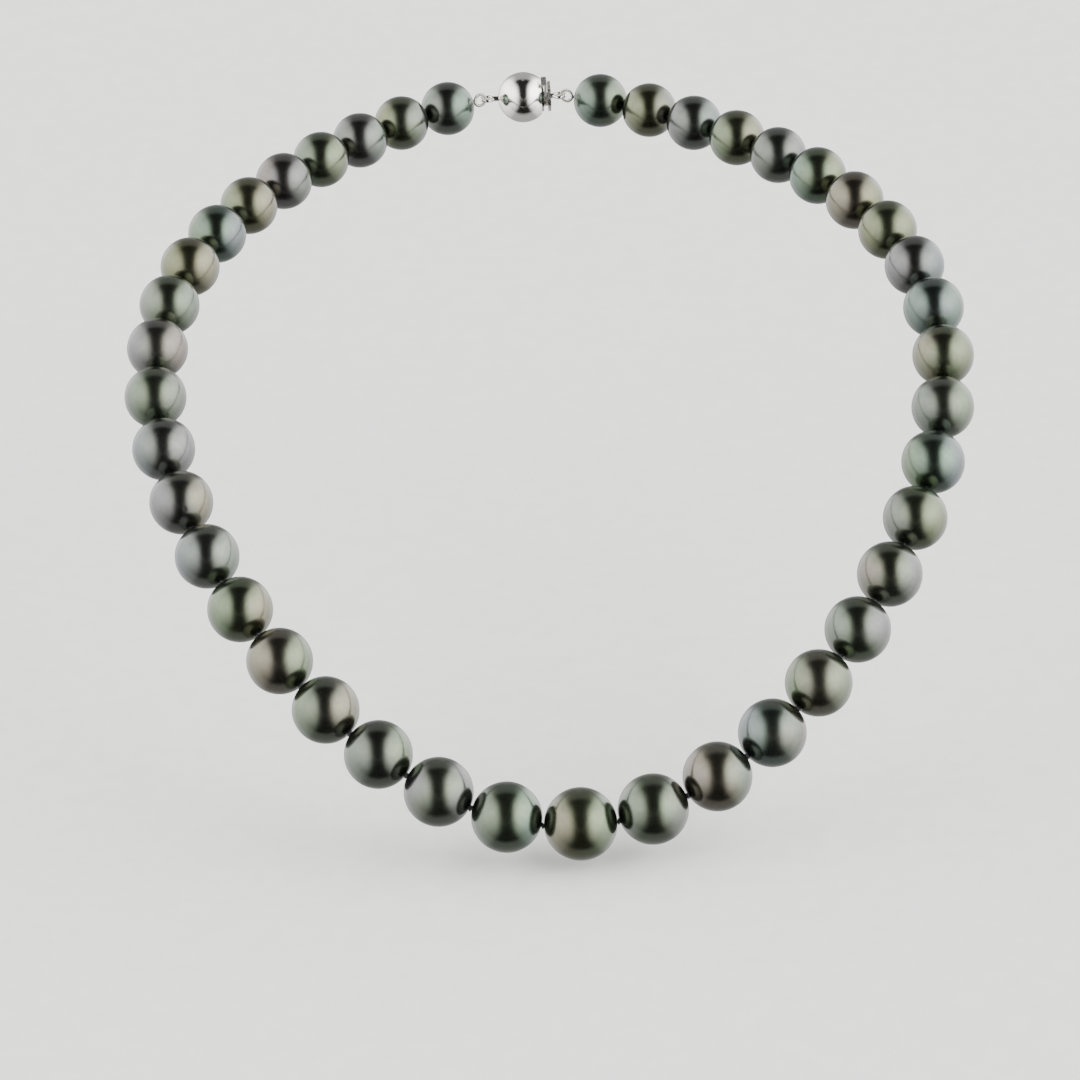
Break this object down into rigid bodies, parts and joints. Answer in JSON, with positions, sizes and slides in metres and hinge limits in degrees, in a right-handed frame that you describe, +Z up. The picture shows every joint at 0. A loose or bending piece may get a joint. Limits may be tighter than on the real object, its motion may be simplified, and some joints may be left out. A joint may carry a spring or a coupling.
{
  "type": "pearl necklace",
  "caption": "Graduated strand of dark round pearls knotted on silk, in the shape worn round a neck, closed by a push-in ball clasp with a spring tongue.",
  "frame": {"origin": "where the clasp ball rests on the nape, at the inner side of the strand's highest point", "axes": "+Y from the neck out through the nape, so the front of the strand is at -Y; +Z up; +X to the viewer's right, seen from the front"},
  "size_m": [0.1332, 0.1465, 0.0762],
  "materials": {
    "pearl": "polished dark nacre with a soft mirror lustre",
    "silk": "twisted silk thread",
    "gimp": "fine coiled wire",
    "white_gold": "polished white gold"
  },
  "bodies": {
    "clasp_ball": {"clasp_upper_shell": "white_gold", "clasp_lower_shell": "white_gold", "clasp_keeper_plate": "white_gold", "clasp_ring_left": "white_gold", "silk_thread": "silk", "silk_knots": "silk"},
    "pearl_left_20": {"pearl_left_20": "pearl", "gimp_left": "gimp"},
    "pearl_left_19": {"pearl_left_19": "pearl"},
    "pearl_left_18": {"pearl_left_18": "pearl"},
    "pearl_left_17": {"pearl_left_17": "pearl"},
    "pearl_left_16": {"pearl_left_16": "pearl"},
    "pearl_left_15": {"pearl_left_15": "pearl"},
    "pearl_left_14": {"pearl_left_14": "pearl"},
    "pearl_left_13": {"pearl_left_13": "pearl"},
    "pearl_left_12": {"pearl_left_12": "pearl"},
    "pearl_left_11": {"pearl_left_11": "pearl"},
    "pearl_left_10": {"pearl_left_10": "pearl"},
    "pearl_left_09": {"pearl_left_09": "pearl"},
    "pearl_left_08": {"pearl_left_08": "pearl"},
    "pearl_left_07": {"pearl_left_07": "pearl"},
    "pearl_left_06": {"pearl_left_06": "pearl"},
    "pearl_left_05": {"pearl_left_05": "pearl"},
    "pearl_left_04": {"pearl_left_04": "pearl"},
    "pearl_left_03": {"pearl_left_03": "pearl"},
    "pearl_left_02": {"pearl_left_02": "pearl"},
    "pearl_left_01": {"pearl_left_01": "pearl"},
    "pearl_centre": {"pearl_centre": "pearl"},
    "pearl_right_01": {"pearl_right_01": "pearl"},
    "pearl_right_02": {"pearl_right_02": "pearl"},
    "pearl_right_03": {"pearl_right_03": "pearl"},
    "pearl_right_04": {"pearl_right_04": "pearl"},
    "pearl_right_05": {"pearl_right_05": "pearl"},
    "pearl_right_06": {"pearl_right_06": "pearl"},
    "pearl_right_07": {"pearl_right_07": "pearl"},
    "pearl_right_08": {"pearl_right_08": "pearl"},
    "pearl_right_09": {"pearl_right_09": "pearl"},
    "pearl_right_10": {"pearl_right_10": "pearl"},
    "pearl_right_11": {"pearl_right_11": "pearl"},
    "pearl_right_12": {"pearl_right_12": "pearl"},
    "pearl_right_13": {"pearl_right_13": "pearl"},
    "pearl_right_14": {"pearl_right_14": "pearl"},
    "pearl_right_15": {"pearl_right_15": "pearl"},
    "pearl_right_16": {"pearl_right_16": "pearl"},
    "pearl_right_17": {"pearl_right_17": "pearl"},
    "pearl_right_18": {"pearl_right_18": "pearl"},
    "pearl_right_19": {"pearl_right_19": "pearl"},
    "pearl_right_20": {"pearl_right_20": "pearl", "gimp_right": "gimp"},
    "clasp_tongue": {"clasp_tongue": "white_gold", "clasp_ring_right": "white_gold"},
    "clasp_spring_leaf": {"clasp_spring_leaf": "white_gold"}
  },
  "joints": [
    {"name": "lift_20", "type": "hinge", "parent": "clasp_ball", "child": "pearl_left_20", "pos_m": [-0.00665, 0.0042, 0], "axis": [-1, 0, 0], "range_deg": [0, 8], "deforming": ["silk_thread", "silk_knots"]},
    {"name": "lift_19", "type": "hinge", "parent": "pearl_left_20", "child": "pearl_left_19", "pos_m": [-0.01695, -0.00037, -0.00051], "axis": [-1, 0, 0], "range_deg": [0, 8], "deforming": ["silk_thread", "silk_knots"]},
    {"name": "lift_18", "type": "hinge", "parent": "pearl_left_19", "child": "pearl_left_18", "pos_m": [-0.02419, -0.00623, -0.00079], "axis": [-1, 0, 0], "range_deg": [0, 8], "deforming": ["silk_thread", "silk_knots"]},
    {"name": "lift_17", "type": "hinge", "parent": "pearl_left_18", "child": "pearl_left_17", "pos_m": [-0.03095, -0.01276, -0.00113], "axis": [-1, 0, 0], "range_deg": [0, 8], "deforming": ["silk_thread", "silk_knots"]},
    {"name": "lift_16", "type": "hinge", "parent": "pearl_left_17", "child": "pearl_left_16", "pos_m": [-0.03734, -0.01975, -0.00165], "axis": [-1, 0, 0], "range_deg": [0, 8], "deforming": ["silk_thread", "silk_knots"]},
    {"name": "lift_15", "type": "hinge", "parent": "pearl_left_16", "child": "pearl_left_15", "pos_m": [-0.04335, -0.02714, -0.00243], "axis": [-1, 0, 0], "range_deg": [0, 8], "deforming": ["silk_thread", "silk_knots"]},
    {"name": "lift_14", "type": "hinge", "parent": "pearl_left_15", "child": "pearl_left_14", "pos_m": [-0.04889, -0.03494, -0.00361], "axis": [-1, 0, 0], "range_deg": [0, 8], "deforming": ["silk_thread", "silk_knots"]},
    {"name": "lift_13", "type": "hinge", "parent": "pearl_left_14", "child": "pearl_left_13", "pos_m": [-0.05379, -0.04317, -0.00532], "axis": [-1, 0, 0], "range_deg": [0, 8], "deforming": ["silk_thread", "silk_knots"]},
    {"name": "lift_12", "type": "hinge", "parent": "pearl_left_13", "child": "pearl_left_12", "pos_m": [-0.05779, -0.0518, -0.00771], "axis": [-1, 0, 0], "range_deg": [0, 8], "deforming": ["silk_thread", "silk_knots"]},
    {"name": "lift_11", "type": "hinge", "parent": "pearl_left_12", "child": "pearl_left_11", "pos_m": [-0.06059, -0.06074, -0.01093], "axis": [-1, 0, 0], "range_deg": [0, 8], "deforming": ["silk_thread", "silk_knots"]},
    {"name": "lift_10", "type": "hinge", "parent": "pearl_left_11", "child": "pearl_left_10", "pos_m": [-0.06191, -0.06976, -0.01502], "axis": [-1, 0, 0], "range_deg": [0, 8], "deforming": ["silk_thread", "silk_knots"]},
    {"name": "lift_09", "type": "hinge", "parent": "pearl_left_10", "child": "pearl_left_09", "pos_m": [-0.06163, -0.07859, -0.01987], "axis": [-1, 0, 0], "range_deg": [0, 8], "deforming": ["silk_thread", "silk_knots"]},
    {"name": "lift_08", "type": "hinge", "parent": "pearl_left_09", "child": "pearl_left_08", "pos_m": [-0.05985, -0.08702, -0.02529], "axis": [-1, 0, 0], "range_deg": [0, 8], "deforming": ["silk_thread", "silk_knots"]},
    {"name": "lift_07", "type": "hinge", "parent": "pearl_left_08", "child": "pearl_left_07", "pos_m": [-0.05676, -0.09494, -0.03108], "axis": [-1, 0, 0], "range_deg": [0, 8], "deforming": ["silk_thread", "silk_knots"]},
    {"name": "lift_06", "type": "hinge", "parent": "pearl_left_07", "child": "pearl_left_06", "pos_m": [-0.05255, -0.10232, -0.03705], "axis": [-1, 0, 0], "range_deg": [0, 8], "deforming": ["silk_thread", "silk_knots"]},
    {"name": "lift_05", "type": "hinge", "parent": "pearl_left_06", "child": "pearl_left_05", "pos_m": [-0.04735, -0.10917, -0.04307], "axis": [-1, 0, 0], "range_deg": [0, 8], "deforming": ["silk_thread", "silk_knots"]},
    {"name": "lift_04", "type": "hinge", "parent": "pearl_left_05", "child": "pearl_left_04", "pos_m": [-0.0412, -0.1155, -0.04898], "axis": [-1, 0, 0], "range_deg": [0, 8], "deforming": ["silk_thread", "silk_knots"]},
    {"name": "lift_03", "type": "hinge", "parent": "pearl_left_04", "child": "pearl_left_03", "pos_m": [-0.03409, -0.12123, -0.05463], "axis": [-1, 0, 0], "range_deg": [0, 8], "deforming": ["silk_thread", "silk_knots"]},
    {"name": "lift_02", "type": "hinge", "parent": "pearl_left_03", "child": "pearl_left_02", "pos_m": [-0.0259, -0.12622, -0.05976], "axis": [-1, 0, 0], "range_deg": [0, 8], "deforming": ["silk_thread", "silk_knots"]},
    {"name": "lift_01", "type": "hinge", "parent": "pearl_left_02", "child": "pearl_left_01", "pos_m": [-0.01647, -0.13017, -0.06393], "axis": [-1, 0, 0], "range_deg": [0, 8], "deforming": ["silk_thread", "silk_knots"]},
    {"name": "open_left_of_centre", "type": "hinge", "parent": "pearl_left_01", "child": "pearl_centre", "pos_m": [-0.00577, -0.13248, -0.06642], "axis": [0, 0.4371, -0.8994], "range_deg": [0, 30], "deforming": ["silk_thread", "silk_knots", "clasp_spring_leaf"]},
    {"name": "open_right_of_centre", "type": "hinge", "parent": "pearl_centre", "child": "pearl_right_01", "pos_m": [0.00577, -0.13248, -0.06642], "axis": [0, 0.4371, -0.8994], "range_deg": [0, 30]},
    {"name": "lift_01_right", "type": "hinge", "parent": "pearl_right_01", "child": "pearl_right_02", "pos_m": [0.01647, -0.13017, -0.06393], "axis": [1, 0, 0], "range_deg": [0, 8]},
    {"name": "lift_02_right", "type": "hinge", "parent": "pearl_right_02", "child": "pearl_right_03", "pos_m": [0.0259, -0.12622, -0.05976], "axis": [1, 0, 0], "range_deg": [0, 8]},
    {"name": "lift_03_right", "type": "hinge", "parent": "pearl_right_03", "child": "pearl_right_04", "pos_m": [0.03409, -0.12123, -0.05463], "axis": [1, 0, 0], "range_deg": [0, 8]},
    {"name": "lift_04_right", "type": "hinge", "parent": "pearl_right_04", "child": "pearl_right_05", "pos_m": [0.0412, -0.1155, -0.04898], "axis": [1, 0, 0], "range_deg": [0, 8]},
    {"name": "lift_05_right", "type": "hinge", "parent": "pearl_right_05", "child": "pearl_right_06", "pos_m": [0.04735, -0.10917, -0.04307], "axis": [1, 0, 0], "range_deg": [0, 8]},
    {"name": "lift_06_right", "type": "hinge", "parent": "pearl_right_06", "child": "pearl_right_07", "pos_m": [0.05255, -0.10232, -0.03705], "axis": [1, 0, 0], "range_deg": [0, 8]},
    {"name": "lift_07_right", "type": "hinge", "parent": "pearl_right_07", "child": "pearl_right_08", "pos_m": [0.05676, -0.09494, -0.03108], "axis": [1, 0, 0], "range_deg": [0, 8]},
    {"name": "lift_08_right", "type": "hinge", "parent": "pearl_right_08", "child": "pearl_right_09", "pos_m": [0.05985, -0.08702, -0.02529], "axis": [1, 0, 0], "range_deg": [0, 8]},
    {"name": "lift_09_right", "type": "hinge", "parent": "pearl_right_09", "child": "pearl_right_10", "pos_m": [0.06163, -0.07859, -0.01987], "axis": [1, 0, 0], "range_deg": [0, 8]},
    {"name": "lift_10_right", "type": "hinge", "parent": "pearl_right_10", "child": "pearl_right_11", "pos_m": [0.06191, -0.06976, -0.01502], "axis": [1, 0, 0], "range_deg": [0, 8]},
    {"name": "lift_11_right", "type": "hinge", "parent": "pearl_right_11", "child": "pearl_right_12", "pos_m": [0.06059, -0.06074, -0.01093], "axis": [1, 0, 0], "range_deg": [0, 8]},
    {"name": "lift_12_right", "type": "hinge", "parent": "pearl_right_12", "child": "pearl_right_13", "pos_m": [0.05779, -0.0518, -0.00771], "axis": [1, 0, 0], "range_deg": [0, 8]},
    {"name": "lift_13_right", "type": "hinge", "parent": "pearl_right_13", "child": "pearl_right_14", "pos_m": [0.05379, -0.04317, -0.00532], "axis": [1, 0, 0], "range_deg": [0, 8]},
    {"name": "lift_14_right", "type": "hinge", "parent": "pearl_right_14", "child": "pearl_right_15", "pos_m": [0.04889, -0.03494, -0.00361], "axis": [1, 0, 0], "range_deg": [0, 8]},
    {"name": "lift_15_right", "type": "hinge", "parent": "pearl_right_15", "child": "pearl_right_16", "pos_m": [0.04335, -0.02714, -0.00243], "axis": [1, 0, 0], "range_deg": [0, 8]},
    {"name": "lift_16_right", "type": "hinge", "parent": "pearl_right_16", "child": "pearl_right_17", "pos_m": [0.03734, -0.01975, -0.00165], "axis": [1, 0, 0], "range_deg": [0, 8]},
    {"name": "lift_17_right", "type": "hinge", "parent": "pearl_right_17", "child": "pearl_right_18", "pos_m": [0.03095, -0.01276, -0.00113], "axis": [1, 0, 0], "range_deg": [0, 8]},
    {"name": "lift_18_right", "type": "hinge", "parent": "pearl_right_18", "child": "pearl_right_19", "pos_m": [0.02419, -0.00623, -0.00079], "axis": [1, 0, 0], "range_deg": [0, 8]},
    {"name": "lift_19_right", "type": "hinge", "parent": "pearl_right_19", "child": "pearl_right_20", "pos_m": [0.01695, -0.00037, -0.00051], "axis": [1, 0, 0], "range_deg": [0, 8]},
    {"name": "lift_20_right", "type": "hinge", "parent": "pearl_right_20", "child": "clasp_tongue", "pos_m": [0.00665, 0.0042, 0], "axis": [1, 0, 0], "range_deg": [0, 8]},
    {"name": "thumb_press", "type": "hinge", "parent": "clasp_tongue", "child": "clasp_spring_leaf", "pos_m": [-0.0024, 0.00436, -0.00034], "axis": [0, 0.8994, 0.4371], "range_deg": [0, 6], "stiffness_Nm_per_rad": 0.02, "deforming": ["clasp_spring_leaf"]}
  ],
  "couplings": [
    {"joint": "open_right_of_centre", "follows": "open_left_of_centre", "ratio": 1},
    {"joint": "lift_01_right", "follows": "lift_01", "ratio": 1},
    {"joint": "lift_02_right", "follows": "lift_02", "ratio": 1},
    {"joint": "lift_03_right", "follows": "lift_03", "ratio": 1},
    {"joint": "lift_04_right", "follows": "lift_04", "ratio": 1},
    {"joint": "lift_05_right", "follows": "lift_05", "ratio": 1},
    {"joint": "lift_06_right", "follows": "lift_06", "ratio": 1},
    {"joint": "lift_07_right", "follows": "lift_07", "ratio": 1},
    {"joint": "lift_08_right", "follows": "lift_08", "ratio": 1},
    {"joint": "lift_09_right", "follows": "lift_09", "ratio": 1},
    {"joint": "lift_10_right", "follows": "lift_10", "ratio": 1},
    {"joint": "lift_11_right", "follows": "lift_11", "ratio": 1},
    {"joint": "lift_12_right", "follows": "lift_12", "ratio": 1},
    {"joint": "lift_13_right", "follows": "lift_13", "ratio": 1},
    {"joint": "lift_14_right", "follows": "lift_14", "ratio": 1},
    {"joint": "lift_15_right", "follows": "lift_15", "ratio": 1},
    {"joint": "lift_16_right", "follows": "lift_16", "ratio": 1},
    {"joint": "lift_17_right", "follows": "lift_17", "ratio": 1},
    {"joint": "lift_18_right", "follows": "lift_18", "ratio": 1},
    {"joint": "lift_19_right", "follows": "lift_19", "ratio": 1},
    {"joint": "lift_20_right", "follows": "lift_20", "ratio": 1}
  ]
}
